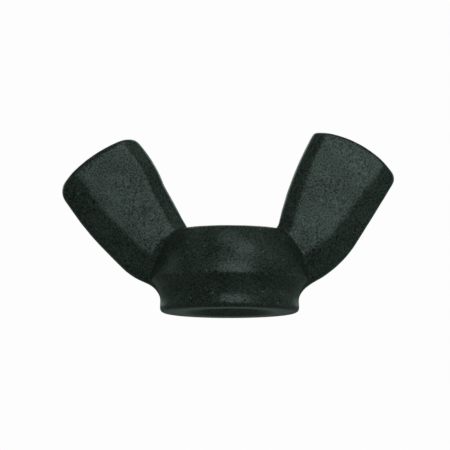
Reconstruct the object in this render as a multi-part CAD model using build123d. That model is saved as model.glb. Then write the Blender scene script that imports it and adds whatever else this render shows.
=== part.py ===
"""Wing nut, American form, M8: one casting of malleable iron, threaded through its hub.

Millimetres. +Z runs up the thread axis from the seat face at Z = 0, the wings spread along X, and
the two halves of the mould meet on the plane Y = 0.
"""
import os
from dataclasses import dataclass
from math import hypot, radians, tan

from build123d import *

# Bore for the M8 x 1.25 thread, with a countersink at each end
BORE_DIAMETER = 6.8
SEAT_MOUTH_DIAMETER = 10.4
TOP_MOUTH_DIAMETER = 8.3
MOUTH_ANGLE = 120.0

# Hub: foot on the seat face, neck, cove, belly with a crease round it, dome and flat top
FOOT_DIAMETER = 15.95
FOOT_CHAMFER_HEIGHT = 0.25
SEAT_DIAMETER = 15.2
NECK_DIAMETER = 15.8
NECK_HEIGHT = 1.3
BELLY_DIAMETER = 18.4
CREASE_HEIGHT = 3.6
CREASE_ROUND = 0.5
TOP_DIAMETER = 12.2
HUB_HEIGHT = 9.5

# Wing section: flat faces that thin towards the tip, a wide bevel below and a narrow one inside
ROOT_THICKNESS = 4.0
RIM_THICKNESS = 1.5
LOWER_BEVEL_ANGLE = 24.0
INNER_BEVEL_ANGLE = 40.0

# How far the wings run on inside the hub
ROOT_SINK = 0.1
NECK_SINK = 0.15

# Blends between the dome and the flats of the wings: their tops fall away outwards, as a cone that
# leaves the hub's top at a radius
BLEND_TOP_RADIUS = 5.2
BLEND_TOP_FALL = 27.0


@dataclass
class Wing:
    """Outline of one wing on the parting plane, X outwards from the thread axis, Z up from the seat."""

    root_x: float
    inner_edge: tuple
    inner_tip: tuple
    outer_tip: tuple
    lower_edge: tuple
    cove_height: float
    inner_bows: tuple
    tip_bow: float
    root_round: float
    inner_round: float
    outer_round: float
    lower_rounds: tuple
    tip_thickness: float
    blend_radius: float


# The two wings are not alike: the right one stands up more, with sharper corners and a smaller blend
RIGHT = Wing(
    root_x=5.43,
    inner_edge=(),
    inner_tip=(9.75, 20.64),
    outer_tip=(19.0, 15.44),
    lower_edge=((13.0, 5.68),),
    cove_height=2.31,
    inner_bows=(0.44,),
    tip_bow=1.3,
    root_round=1.0,
    inner_round=0.19,
    outer_round=1.05,
    lower_rounds=(12.0, 2.8),
    tip_thickness=3.2,
    blend_radius=0.3,
)
LEFT = Wing(
    root_x=4.65,
    inner_edge=((7.54, 14.5),),
    inner_tip=(11.04, 20.08),
    outer_tip=(19.51, 13.93),
    lower_edge=((16.05, 9.05), (11.32, 4.27)),
    cove_height=2.54,
    inner_bows=(0, 0.36),
    tip_bow=0.96,
    root_round=0.4,
    inner_round=1.44,
    outer_round=1.84,
    lower_rounds=(30.0, 8.0, 2.8),
    tip_thickness=3.7,
    blend_radius=1.2,
)


def dome():
    """Centre height and radius of the ball that runs through the crease and the edge of the flat top."""
    belly = BELLY_DIAMETER / 2
    top = TOP_DIAMETER / 2
    middle = (CREASE_HEIGHT + HUB_HEIGHT) / 2
    centre = middle - (belly**2 - top**2) / (2 * (HUB_HEIGHT - CREASE_HEIGHT))
    return centre, hypot(top, HUB_HEIGHT - centre)


def hub():
    """Turned form of the hub: foot, neck, cove under the belly, crease, dome, flat top."""
    seat = (SEAT_DIAMETER / 2, 0)
    foot = (FOOT_DIAMETER / 2, FOOT_CHAMFER_HEIGHT)
    neck = (NECK_DIAMETER / 2, NECK_HEIGHT)
    crease = (BELLY_DIAMETER / 2, CREASE_HEIGHT)
    rim = (TOP_DIAMETER / 2, HUB_HEIGHT)
    profile = Polyline((0, 0), seat, foot, neck)
    profile += TangentArc(neck, crease, tangent=(0, 1))
    profile += RadiusArc(crease, rim, -dome()[1])
    profile += Polyline(rim, (0, HUB_HEIGHT), (0, 0))
    face = make_face(profile)
    face = fillet(face.vertices().group_by(Axis.X)[-1], CREASE_ROUND)
    return revolve(Plane.XZ * face, axis=Axis.Z)


def edge_lines(wing):
    """Inner, tip and lower edges of a wing, from root to foot, and its two corners inside the hub."""
    core_x = BORE_DIAMETER / 4
    neck_x = NECK_DIAMETER / 2 - NECK_SINK
    root = (wing.root_x, HUB_HEIGHT - ROOT_SINK)
    stops = (root, *wing.inner_edge, wing.inner_tip)
    spans = zip(stops, stops[1:], wing.inner_bows)
    inner = Curve() + [SagittaArc(*span) if span[2] else Line(*span[:2]) for span in spans]
    tip = SagittaArc(wing.inner_tip, wing.outer_tip, wing.tip_bow)
    cove = (neck_x, wing.cove_height)
    foot = (neck_x, FOOT_CHAMFER_HEIGHT)
    lower = FilletPolyline(wing.outer_tip, *wing.lower_edge, cove, foot, radius=list(wing.lower_rounds))
    return inner, tip, lower, [(core_x, foot[1]), (core_x, root[1])]


def closed(*lines, corners):
    """Face between lines that run on from one another and straight sides back round some corners."""
    sides = Polyline(lines[-1] @ 1, *corners, lines[0] @ 0)
    return make_face([edge for line in (*lines, sides) for edge in line.edges()])


def root_rounded(face, wing):
    """A face with its corner at the root of a wing rounded."""
    root = face.vertices().sort_by_distance((wing.root_x, HUB_HEIGHT - ROOT_SINK, 0))[0]
    return fillet(root, wing.root_round)


def over(edges, line):
    """Those edges whose middle lies straight in front of or behind a line on the parting plane."""
    def middle(edge):
        spot = edge.position_at(0.5)
        return Vertex(spot.X, spot.Z, 0)
    return [edge for edge in edges if middle(edge).distance_to(line) < 0.01]


def bevelled(wing, face, line, angle):
    """Plate of a face, thick enough for a wing with its blends, bevelled to the rim along a line."""
    thickness = ROOT_THICKNESS + 2 * wing.blend_radius
    depth = (thickness - RIM_THICKNESS) / 2
    solid = extrude(Plane.XZ * face, thickness / 2, both=True)
    for front_or_back in (0, -1):
        flat = solid.faces().filter_by(Axis.Y).sort_by(Axis.Y)[front_or_back]
        solid = chamfer(over(flat.edges(), line), depth / tan(radians(angle)), depth, reference=flat)
    return solid


def thinning(wing):
    """Wedge between the two flat faces of a wing, which thins evenly outwards along the wing."""
    tip_x = (wing.inner_tip[0] + wing.outer_tip[0]) / 2
    rise = (wing.inner_tip[1] + wing.outer_tip[1]) / 2 - CREASE_HEIGHT
    reach = hypot(tip_x, rise)
    along = Plane(origin=(0, 0, CREASE_HEIGHT), x_dir=(tip_x, 0, rise), z_dir=(-rise, 0, tip_x))
    tip = wing.tip_thickness / 2
    slope = (ROOT_THICKNESS / 2 - tip) / (reach - BELLY_DIAMETER / 2)
    half = [(-reach, tip + slope * 2 * reach), (1.5 * reach, tip - slope * reach / 2)]
    mirrored = [(u, -v) for u, v in reversed(half)]
    return extrude(along * make_face(Polyline(*half, *mirrored, close=True)), reach, both=True)


def rooted(wing):
    """Plate of a wing, with the blends that climb from the dome to its two flats."""
    centre, radius = dome()
    ball = Pos(0, 0, centre) * Sphere(radius)
    plate = thinning(wing)
    standing = ball + plate
    blended = fillet(new_edges(ball, plate, combined=standing), wing.blend_radius)
    fall = tan(radians(BLEND_TOP_FALL))
    apex = HUB_HEIGHT + BLEND_TOP_RADIUS * fall
    height = apex + radius
    tops = Pos(0, 0, apex - height / 2) * Cone(height / fall, 0, height)
    return blended & tops + plate


def outline(wing):
    """Face of a wing on the parting plane, with its root and both tip corners rounded."""
    inner, tip, lower, core = edge_lines(wing)
    face = root_rounded(closed(inner, tip, lower, corners=core), wing)
    for corner, radius in ((wing.inner_tip, wing.inner_round), (wing.outer_tip, wing.outer_round)):
        face = fillet(face.vertices().sort_by_distance((*corner, 0))[0], radius)
    return face


def right_handed(wing):
    """One wing on the +X side: the plate with its blends, its bevels below and inside, and its outline."""
    inner, _, lower, (low, high) = edge_lines(wing)
    far_x = wing.outer_tip[0]
    top = wing.inner_tip[1]
    under_inner = closed(inner, corners=[(far_x, top), (far_x, low[1]), low, high])
    over_lower = closed(lower, corners=[(-far_x, low[1]), (-far_x, top), (far_x, top)])
    within = bevelled(wing, root_rounded(under_inner, wing), inner, INNER_BEVEL_ANGLE)
    above = bevelled(wing, over_lower, lower, LOWER_BEVEL_ANGLE)
    prism = extrude(Plane.XZ * outline(wing), ROOT_THICKNESS, both=True)
    return rooted(wing) & within & above & prism


def mouth(diameter, height, turn):
    """Countersink with its wide end at a height, opening upwards (turn 0) or downwards (turn 180)."""
    bore = BORE_DIAMETER / 2
    rim = diameter / 2
    depth = (rim - bore) / tan(radians(MOUTH_ANGLE / 2))
    past = 0.1
    wide = rim + past * tan(radians(MOUTH_ANGLE / 2))
    profile = Polyline((0, -depth), (bore, -depth), (wide, past), (0, past), close=True)
    cone = revolve(Plane.XZ * make_face(profile), axis=Axis.Z)
    return Pos(0, 0, height) * Rot(turn, 0, 0) * cone


def wing_nut():
    """Hub and both wings blended into one casting, then bored and countersunk."""
    casting = hub() + right_handed(RIGHT) + mirror(right_handed(LEFT), Plane.YZ)
    bore = Pos(0, 0, HUB_HEIGHT / 2) * Cylinder(BORE_DIAMETER / 2, 2 * HUB_HEIGHT)
    return casting - bore - mouth(SEAT_MOUTH_DIAMETER, 0, 180) - mouth(TOP_MOUTH_DIAMETER, HUB_HEIGHT, 0)


os.makedirs("parts", exist_ok=True)
nut = wing_nut()
nut.label = "wing_nut"
export_step(nut, "parts/wing_nut.step")
print("volume", round(nut.volume, 1), "mm3, box", nut.bounding_box())
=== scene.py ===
"""A black cast wing nut standing on its seat face, lit by a wide soft box from the front."""
import math

import bmesh
import bpy
import numpy as np
from mathutils import Matrix, Vector


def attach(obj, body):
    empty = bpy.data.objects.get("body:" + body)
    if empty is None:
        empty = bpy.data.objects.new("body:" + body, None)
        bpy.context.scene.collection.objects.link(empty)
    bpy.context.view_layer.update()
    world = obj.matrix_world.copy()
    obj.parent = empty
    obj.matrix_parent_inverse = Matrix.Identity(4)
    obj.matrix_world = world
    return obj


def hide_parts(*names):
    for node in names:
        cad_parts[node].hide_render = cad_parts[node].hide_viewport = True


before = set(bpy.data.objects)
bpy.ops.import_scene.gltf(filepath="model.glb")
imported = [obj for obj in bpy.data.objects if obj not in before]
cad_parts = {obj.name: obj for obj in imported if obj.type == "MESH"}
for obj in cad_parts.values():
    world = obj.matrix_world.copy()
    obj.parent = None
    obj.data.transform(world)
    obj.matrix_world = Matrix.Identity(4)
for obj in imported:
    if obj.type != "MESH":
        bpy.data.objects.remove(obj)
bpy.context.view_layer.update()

# Camera: a long lens a little below the seat face, in front of the plane where the mould parted.
# The view is 51.4 mm wide at the thread's axis, and colours are shown as they are.
MM = 0.001
ELEVATION = math.radians(-5.7)
DISTANCE = 0.7
FRAME_WIDTH = 0.05143
FAR_LIMIT = 10
aim = Vector((-0.526 * MM, -1.1 * MM, 9.963 * MM))
back = Vector((0, -math.cos(ELEVATION), math.sin(ELEVATION)))
camera_data = bpy.data.cameras.new("camera")
camera_data.lens = camera_data.sensor_width * DISTANCE / FRAME_WIDTH
camera_data.clip_end = FAR_LIMIT
camera = bpy.data.objects.new("camera", camera_data)
camera.location = aim + back * DISTANCE
camera.rotation_euler = back.to_track_quat("Z", "Y").to_euler()
bpy.context.scene.collection.objects.link(camera)
bpy.context.scene.camera = camera
bpy.context.scene.view_settings.view_transform = "Standard"

# Light: a wide soft box in front and a little to the right, a smaller one high on the right, and
# dim ones overhead, to each side and behind, so that flat faces read grey and bevels nearly black.
# The lamps are faintly green, as the shine on the iron is.
LAMPS = (  # name, degrees round to the right from the front, degrees up, width and height in m, W
    ("front", 8, 18, (0.45, 0.4), 0.79),
    ("high_right", 32, 55, (0.25, 0.13), 0.24),
    ("overhead", 0, 75, (0.2, 0.2), 0.14),
    ("right", 75, 38, (0.13, 0.2), 0.04),
    ("left_rim", -100, 15, (0.13, 0.35), 0.04),
    ("right_rim", 100, -6, (0.13, 0.2), 0.04),
    ("low_right", 60, -15, (0.3, 0.3), 0.045),
    ("behind", 180, 40, (0.3, 0.13), 0.20),
    ("behind_left", -150, 20, (0.3, 0.3), 0.25),
    ("behind_right", 150, 20, (0.3, 0.3), 0.22),
)
LAMP_DISTANCE = 0.6
LAMP_CENTRE = Vector((0, 0, 0.01))
LAMP_COLOUR = "E6FFFA"


def srgb(code):
    """Linear RGBA of an sRGB hex colour."""
    parts = [int(code[i:i + 2], 16) / 255 for i in (0, 2, 4)]
    return [c / 12.92 if c <= 0.04045 else ((c + 0.055) / 1.055) ** 2.4 for c in parts] + [1.0]


for name, azimuth, elevation, size, power in LAMPS:
    a, e = math.radians(azimuth), math.radians(elevation)
    away = Vector((math.sin(a) * math.cos(e), -math.cos(a) * math.cos(e), math.sin(e)))
    lamp_data = bpy.data.lights.new(name, "AREA")
    lamp_data.shape = "RECTANGLE"
    lamp_data.size, lamp_data.size_y = size
    lamp_data.energy = power
    lamp_data.color = srgb(LAMP_COLOUR)[:3]
    lamp = bpy.data.objects.new(name, lamp_data)
    lamp.location = away * LAMP_DISTANCE + LAMP_CENTRE
    lamp.rotation_euler = away.to_track_quat("Z", "Y").to_euler()
    bpy.context.scene.collection.objects.link(lamp)

# Studio: the walls all around. They are white to the camera, and the iron mirrors them as a dim
# grey-green.
WALL_SEEN, WALL_MIRRORED = "FDFDFD", "616F69"
MIX_SHARE, MIX_FIRST, MIX_SECOND, MIX_RESULT = 0, 6, 7, 2  # the sockets of a colour Mix node


def node(tree, kind, sockets=None, **properties):
    """A new node in a tree, with its properties set. Its input sockets, by name or number, are
    given values or links."""
    made = tree.nodes.new(kind)
    for name, value in properties.items():
        setattr(made, name, value)
    for key, value in (sockets or {}).items():
        if isinstance(value, bpy.types.NodeSocket):
            tree.links.new(value, made.inputs[key])
        else:
            made.inputs[key].default_value = value
    return made


world = bpy.data.worlds.new("studio")
world.use_nodes = True
bpy.context.scene.world = world
tree = world.node_tree
tree.nodes.clear()
seen = node(tree, "ShaderNodeLightPath").outputs["Is Camera Ray"]
tone = node(tree, "ShaderNodeMix", {
    MIX_SHARE: seen, MIX_FIRST: srgb(WALL_MIRRORED), MIX_SECOND: srgb(WALL_SEEN),
}, data_type="RGBA").outputs[MIX_RESULT]
surround = node(tree, "ShaderNodeBackground", {"Color": tone})
node(tree, "ShaderNodeOutputWorld", {"Surface": surround.outputs[0]})

# Floor: a pale sheet just under the seat face, lit a little from within as on a light table. It is
# clear from below, where the main camera looks in, and adds no light or shadow to the iron. Its
# paper is faintly pink, which the lamps' green turns to a plain pale grey.
FLOOR_HALF = 0.6
FLOOR_GAP = 0.02 * MM
PAPER, PAPER_GLOW, GLOW_STRENGTH = "F8DEE3", "E8E8E8", 0.6
floor_mesh = bpy.data.meshes.new("floor")
floor_mesh.from_pydata(
    [(-FLOOR_HALF, -FLOOR_HALF, 0), (FLOOR_HALF, -FLOOR_HALF, 0),
     (FLOOR_HALF, FLOOR_HALF, 0), (-FLOOR_HALF, FLOOR_HALF, 0)], [], [(0, 1, 2, 3)])
floor = bpy.data.objects.new("floor", floor_mesh)
floor.location.z = -FLOOR_GAP
bpy.context.scene.collection.objects.link(floor)
paper = bpy.data.materials.new("floor")
paper.use_nodes = True
tree = paper.node_tree
tree.nodes.clear()
pale = node(tree, "ShaderNodeBsdfDiffuse", {"Color": srgb(PAPER)})
glow = node(tree, "ShaderNodeEmission", {"Color": srgb(PAPER_GLOW), "Strength": GLOW_STRENGTH})
lit = node(tree, "ShaderNodeAddShader", {0: pale.outputs[0], 1: glow.outputs[0]})
clear = node(tree, "ShaderNodeBsdfTransparent")
below = node(tree, "ShaderNodeNewGeometry").outputs["Backfacing"]
sheet = node(tree, "ShaderNodeMixShader", {0: below, 1: lit.outputs[0], 2: clear.outputs[0]})
node(tree, "ShaderNodeOutputMaterial", {"Surface": sheet.outputs[0]})
floor_mesh.materials.append(paper)
floor.visible_diffuse = False
floor.visible_glossy = False
floor.visible_shadow = False

# Wing nut: one sand casting in malleable iron, hub and wings in a single piece. The sand and the
# tumbling barrel round its edges, most of all on the wings, and the two halves of the mould leave
# a thin seam along the wings' rims. Its mesh and the sizes below are in millimetres.
MERGE_DISTANCE = 1e-4
VOXEL = 0.17
SAND_ROUNDS, BARREL_ROUNDS = 5, 12
WING_CENTRE_HEIGHT, WING_START, WING_FADE = 2.5, 9.3, 1.5  # the wings lie beyond this circle
SWELLS, RIPPLES = (7, 0.012), (1.7, 0.004)  # length and height of the skin's waves
SEAM_WIDTH, SEAM_HEIGHT = 0.22, 0.07
SCALE_LAYER = 0.035  # skin on the wings, which gives back what the rounding takes off them
FACE_FANS = (((4.3, -3.1), 66.5), ((-1.5, -0.8), 125.0))  # each wing's apex and middle, in degrees
FACE_SPREAD, CROWN = math.radians(10), 0.06
SEAT_FADE = 0.6  # seam and skin fade out towards the turned seat and the bore
BORE_CLEAR, BORE_FADE = 5, 1.5


def settled(obj):
    """Applies an object's modifiers to its mesh."""
    graph = bpy.context.evaluated_depsgraph_get()
    obj.data = bpy.data.meshes.new_from_object(obj.evaluated_get(graph))
    obj.modifiers.clear()
    return obj.data


def read(items, name, width, kind=float):
    """One property of every item of a mesh, as an array of rows."""
    values = np.empty(len(items) * width, kind)
    items.foreach_get(name, values)
    return values.reshape(-1, width)


def worn_round(points, edges, share, rounds):
    """Edges worn round: in each round every point goes half of its share of the way to the mean of
    its neighbours."""
    ends = np.concatenate([edges, edges[:, ::-1]])
    count = np.bincount(ends[:, 0], minlength=len(points))[:, None]
    for _ in range(rounds):
        total = [np.bincount(ends[:, 0], points[ends[:, 1], axis], len(points))
                 for axis in range(3)]
        points = points + 0.5 * share[:, None] * (np.stack(total, 1) / count - points)
    return points


def cast_skin(points, wavelength, height, waves=32, seed=1):
    """Gentle unevenness: the sum of sine waves of one length in random directions and phases,
    height * sqrt(2 / waves) * sum(sin(2 pi / wavelength * direction . point + phase))."""
    draw = np.random.default_rng(seed)
    directions = draw.normal(size=(waves, 3))
    directions /= np.linalg.norm(directions, axis=1, keepdims=True)
    phases = draw.uniform(0, 2 * math.pi, waves)
    turns = points @ directions.T * (2 * math.pi / wavelength) + phases
    return height * math.sqrt(2 / waves) * np.sin(turns).sum(axis=1)


def mould_seam(points, normals, width, height):
    """Low ridge where the two halves of the mould met: height * exp(-(y / width)^2) * rim, where
    rim = 1 - 2 |normal y|, not below 0, is 1 on the rims and 0 on faces and bevels."""
    rim = np.clip(1 - 2 * np.abs(normals[:, 1]), 0, 1)
    return height * np.exp(-(points[:, 1] / width) ** 2) * rim


def crown(points, normals, apex, middle, spread, height):
    """A face a little fuller along its middle: height * (1 - (turn / spread)^2) * flat, not below
    0. Turn is the angle at the apex, in the xz plane, from the middle line to the point, and flat
    goes from 0 to 1 as |normal y| goes from 0.85 to 0.95, so that the bevels keep their shape."""
    turn = np.arctan2(points[:, 2] - apex[1], points[:, 0] - apex[0]) - middle
    flat = np.clip((np.abs(normals[:, 1]) - 0.85) / 0.1, 0, 1)
    return height * np.clip(1 - (turn / spread) ** 2, 0, 1) * flat


piece_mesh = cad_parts["wing_nut"].data.copy()
piece_mesh.transform(Matrix.Scale(1 / MM, 4))
merged = bmesh.new()
merged.from_mesh(piece_mesh)
bmesh.ops.remove_doubles(merged, verts=merged.verts, dist=MERGE_DISTANCE)
merged.to_mesh(piece_mesh)
merged.free()
piece_mesh.materials.clear()
piece = bpy.data.objects.new("wing_nut_casting", piece_mesh)
bpy.context.scene.collection.objects.link(piece)

remesh = piece.modifiers.new("skin", "REMESH")
remesh.mode = "VOXEL"
remesh.voxel_size = VOXEL
mesh = settled(piece)
points = read(mesh.vertices, "co", 3)
edges = read(mesh.edges, "vertices", 2, int)
reach = np.hypot(points[:, 0], points[:, 2] - WING_CENTRE_HEIGHT)
wings = np.clip((reach - WING_START) / WING_FADE, 0, 1)
points = worn_round(points, edges, np.ones(len(points)), SAND_ROUNDS)
points = worn_round(points, edges, wings, BARREL_ROUNDS)
mesh.vertices.foreach_set("co", points.ravel())
mesh.update()

normals = read(mesh.vertex_normals, "vector", 3)
rise = cast_skin(points, *SWELLS) + cast_skin(points, *RIPPLES, seed=2)
rise += wings * (SCALE_LAYER + mould_seam(points, normals, SEAM_WIDTH, SEAM_HEIGHT))
for apex, middle in FACE_FANS:
    wing = wings * (points[:, 0] * apex[0] > 0)
    rise += wing * crown(points, normals, apex, math.radians(middle), FACE_SPREAD, CROWN)
off_seat = np.clip(points[:, 2] / SEAT_FADE, 0, 1)
off_bore = np.clip((np.hypot(points[:, 0], points[:, 1]) - BORE_CLEAR) / BORE_FADE, 0, 1)
rise *= off_seat * off_bore
mesh.vertices.foreach_set("co", (points + normals * rise[:, None]).ravel())
mesh.update()

# Thread: M8 x 1.25, right-hand, through the whole hub. It is cut out of the iron with a tap, which
# widens at both ends to make the two 120 degree countersinks, a wide one at the seat and a small
# one on top. Its sizes are in millimetres.
PITCH = 1.25
MAJOR, MINOR = 4.0, 3.43
HUB_HEIGHT = 9.5
SEAT_SINK, TOP_SINK = 5.21, 4.16  # radius of each countersink where it meets the surface
SINK_SLOPE = math.tan(math.radians(60))
TAP_START, TAP_END, TAP_STEP = -0.5, 9.56, 0.05
TAP_SIDES = 144
SHARP = math.radians(40)
theta, z = np.meshgrid(np.linspace(0, 2 * math.pi, TAP_SIDES, endpoint=False),
                       np.arange(TAP_START, TAP_END, TAP_STEP))
# The tap's radius is the major one on a crest an eighth of the pitch wide, and falls from there
# to the minor one down 60 degree flanks, as major - (off_crest - pitch / 16) * sqrt(3), where
# off_crest is the distance along the axis from the crest's middle.
off_crest = np.abs((z / PITCH - theta / (2 * math.pi)) % 1 - 0.5) * PITCH
radius = np.clip(MAJOR - (off_crest - PITCH / 16) * math.sqrt(3), MINOR, MAJOR)
radius = np.maximum(radius, SEAT_SINK - z * SINK_SLOPE)
radius = np.maximum(radius, TOP_SINK + (z - HUB_HEIGHT) * SINK_SLOPE)
points = np.stack([radius * np.cos(theta), radius * np.sin(theta), z], -1).reshape(-1, 3)
rows, columns = z.shape
index = np.arange(rows * columns).reshape(rows, columns)
turned = np.roll(index, -1, axis=1)
quads = np.stack([index[:-1], turned[:-1], turned[1:], index[1:]], -1).reshape(-1, 4).tolist()
end_faces = [index[0][::-1].tolist(), index[-1].tolist()]
tap_mesh = bpy.data.meshes.new("tap")
tap_mesh.from_pydata(points.tolist(), [], quads + end_faces)
tap = bpy.data.objects.new("tap", tap_mesh)
bpy.context.scene.collection.objects.link(tap)
cut = piece.modifiers.new("tapped", "BOOLEAN")
cut.operation = "DIFFERENCE"
cut.solver = "MANIFOLD"
cut.object = tap
mesh = settled(piece)
bpy.data.objects.remove(tap)
mesh.transform(Matrix.Scale(MM, 4))
mesh.shade_smooth()
mesh.set_sharp_from_angle(angle=SHARP)

# Black finish: malleable iron as cast in sand, blackened all over with a thin satin coat. The coat
# hides the metal, so to the eye it is a dark grey with a trace of green, whose shine breaks up on
# the fine grain that the sand left: dull in the pits, brighter on the crests.
GRAINS_PER_MM = 5.6  # 0.18 mm across: real grains of about 0.1 mm are too fine to show
CLOUDS_PER_MM = 0.33  # patches 3 mm across, where the coat lies a little thicker or thinner
SPECKS_PER_MM = 0.65  # pale specks 1.5 mm apart and about 0.2 mm across, where it has worn off
CLOUD_WEIGHT = 0.25
PIT_LEVEL, CREST_LEVEL = 0.42, 0.83  # the range that grain and clouds have together
PIT, CREST, WORN = "030403", "434942", "6E7B76"
PIT_SHINE, CREST_SHINE = 0.2, 0.76
SPECK_INSIDE, SPECK_EDGE = 0.035, 0.09
GRAIN_DEPTH, GRAIN_STRENGTH = 0.02 * MM, 0.6
SATIN = 0.33
SHINE_TINT = "F8FFFF"
black = bpy.data.materials.new("black_iron")
black.use_nodes = True
tree = black.node_tree
tree.nodes.clear()
place = node(tree, "ShaderNodeTexCoord").outputs["Object"]
grain = node(tree, "ShaderNodeTexNoise", {
    "Vector": place, "Scale": GRAINS_PER_MM / MM, "Detail": 2, "Roughness": 0.5,
}).outputs["Fac"]
cloud = node(tree, "ShaderNodeTexNoise", {
    "Vector": place, "Scale": CLOUDS_PER_MM / MM, "Detail": 2,
}).outputs["Fac"]
mixed = node(tree, "ShaderNodeMath", {
    0: cloud, 1: CLOUD_WEIGHT, 2: grain,
}, operation="MULTIPLY_ADD").outputs[0]
contrast = node(tree, "ShaderNodeMapRange", {
    "Value": mixed, "From Min": PIT_LEVEL, "From Max": CREST_LEVEL,
}).outputs[0]
colour = node(tree, "ShaderNodeMix", {
    MIX_SHARE: contrast, MIX_FIRST: srgb(PIT), MIX_SECOND: srgb(CREST),
}, data_type="RGBA").outputs[MIX_RESULT]
spots = node(tree, "ShaderNodeTexVoronoi", {
    "Vector": place, "Scale": SPECKS_PER_MM / MM,
}).outputs["Distance"]
speck = node(tree, "ShaderNodeMapRange", {
    "Value": spots, "From Min": SPECK_INSIDE, "From Max": SPECK_EDGE, "To Min": 1.0, "To Max": 0.0,
}).outputs[0]
worn = node(tree, "ShaderNodeMix", {
    MIX_SHARE: speck, MIX_FIRST: colour, MIX_SECOND: srgb(WORN),
}, data_type="RGBA").outputs[MIX_RESULT]
bump = node(tree, "ShaderNodeBump", {
    "Height": grain, "Strength": GRAIN_STRENGTH, "Distance": GRAIN_DEPTH,
}).outputs[0]
shine = node(tree, "ShaderNodeMapRange", {
    "Value": contrast, "To Min": PIT_SHINE, "To Max": CREST_SHINE,
}).outputs[0]
skin = node(tree, "ShaderNodeBsdfPrincipled", {
    "Base Color": worn, "Roughness": SATIN, "Normal": bump, "Specular IOR Level": shine,
    "Specular Tint": srgb(SHINE_TINT),
})
node(tree, "ShaderNodeOutputMaterial", {"Surface": skin.outputs[0]})
mesh.materials.clear()
mesh.materials.append(black)

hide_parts("wing_nut")
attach(piece, "root")
